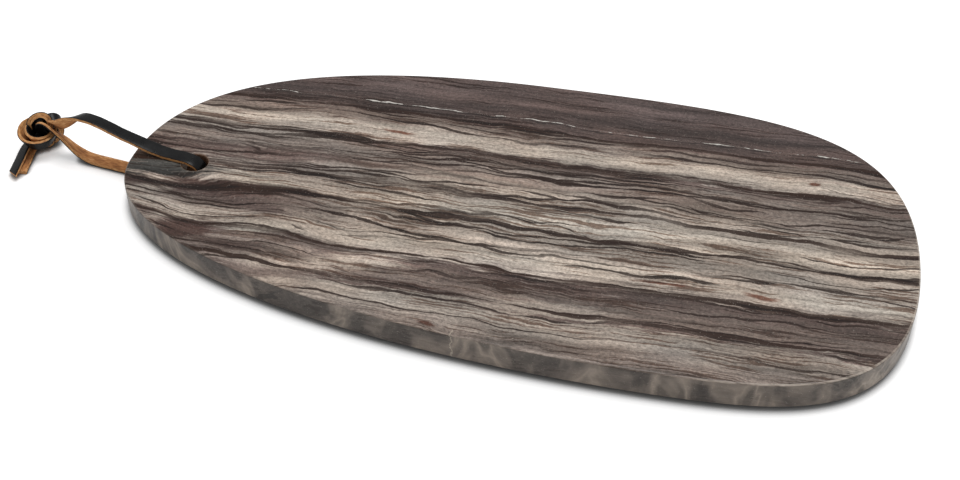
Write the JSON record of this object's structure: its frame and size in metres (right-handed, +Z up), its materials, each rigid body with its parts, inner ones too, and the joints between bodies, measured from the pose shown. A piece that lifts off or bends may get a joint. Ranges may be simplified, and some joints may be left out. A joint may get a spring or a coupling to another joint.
{
  "type": "marble serving platter",
  "caption": "Egg-shaped polished marble serving platter on bumper feet, with a knotted flat leather lace through a hole near its narrow end for hanging.",
  "frame": {"origin": "on the table, under the middle of the slab's own box", "axes": "+X along the slab towards its wide end, away from the lace; +Y to its back; +Z up"},
  "size_m": [0.4871, 0.208, 0.0306],
  "materials": {
    "marble": "polished, brown-grey with cream and dark veins",
    "bumper": "translucent moulded silicone",
    "leather": "black grain side, raw tan flesh side and edges"
  },
  "bodies": {
    "platter": {"marble_slab": "marble", "foot_front_narrow": "bumper", "foot_back_narrow": "bumper", "foot_front_wide": "bumper", "foot_back_wide": "bumper"},
    "strap_root": {"strap_hole_bend": "leather", "strap_upper_run": "leather", "strap_lower_run": "leather"},
    "strap_loop": {"strap_upper_strand": "leather", "strap_lower_strand": "leather", "strap_knot": "leather", "strap_tail_long": "leather", "strap_tail_short": "leather"}
  },
  "joints": [
    {"name": "strap_swing", "type": "hinge", "parent": "platter", "child": "strap_root", "pos_m": [-0.171, -0.003, 0.0101], "axis": [0, 0, 1], "range_deg": [-20, 20]},
    {"name": "strap_lift", "type": "hinge", "parent": "strap_root", "child": "strap_loop", "pos_m": [-0.20467, 0.00173, 0.0101], "axis": [0.1392, 0.9903, 0], "range_deg": [0, 35], "deforming": ["strap_upper_strand", "strap_lower_strand"]}
  ]
}
